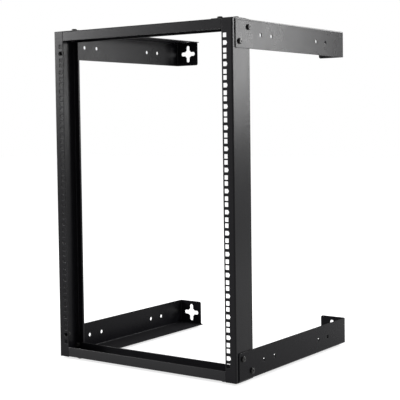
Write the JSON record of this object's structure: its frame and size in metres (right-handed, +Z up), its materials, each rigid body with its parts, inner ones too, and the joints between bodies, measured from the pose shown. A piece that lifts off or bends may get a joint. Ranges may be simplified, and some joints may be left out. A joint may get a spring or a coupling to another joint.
{
  "type": "open wall mount rack",
  "caption": "Open black steel rack frame with square-hole posts, joined by channels, and long arms back to flanges that screw to a wall.",
  "frame": {"origin": "on the floor, below the middle of the rack", "axes": "+Z up, +X to the right seen from the front, +Y back towards the wall"},
  "size_m": [0.517, 0.49, 0.782],
  "materials": {
    "post": "black powder coat, satin",
    "channel": "black powder coat, satin",
    "arm": "black powder coat, satin",
    "bolt": "black zinc, semi-gloss",
    "nut": "black zinc, semi-gloss"
  },
  "bodies": {
    "root": {"left_post": "post", "right_post": "post", "top_channel": "channel", "bottom_channel": "channel", "upper_left_arm": "arm", "upper_left_arm_bolt_front": "bolt", "upper_left_arm_nut_front": "nut", "upper_left_arm_bolt_rear": "bolt", "upper_left_arm_nut_rear": "nut", "upper_left_corner_bolt_front": "bolt", "upper_left_corner_nut_front": "nut", "upper_left_corner_bolt_rear": "bolt", "upper_left_corner_nut_rear": "nut", "upper_right_arm": "arm", "upper_right_arm_bolt_front": "bolt", "upper_right_arm_nut_front": "nut", "upper_right_arm_bolt_rear": "bolt", "upper_right_arm_nut_rear": "nut", "upper_right_corner_bolt_front": "bolt", "upper_right_corner_nut_front": "nut", "upper_right_corner_bolt_rear": "bolt", "upper_right_corner_nut_rear": "nut", "lower_left_arm": "arm", "lower_left_arm_bolt_front": "bolt", "lower_left_arm_nut_front": "nut", "lower_left_arm_bolt_rear": "bolt", "lower_left_arm_nut_rear": "nut", "lower_left_corner_bolt_front": "bolt", "lower_left_corner_nut_front": "nut", "lower_left_corner_bolt_rear": "bolt", "lower_left_corner_nut_rear": "nut", "lower_right_arm": "arm", "lower_right_arm_bolt_front": "bolt", "lower_right_arm_nut_front": "nut", "lower_right_arm_bolt_rear": "bolt", "lower_right_arm_nut_rear": "nut", "lower_right_corner_bolt_front": "bolt", "lower_right_corner_nut_front": "nut", "lower_right_corner_bolt_rear": "bolt", "lower_right_corner_nut_rear": "nut"}
  },
  "joints": []
}
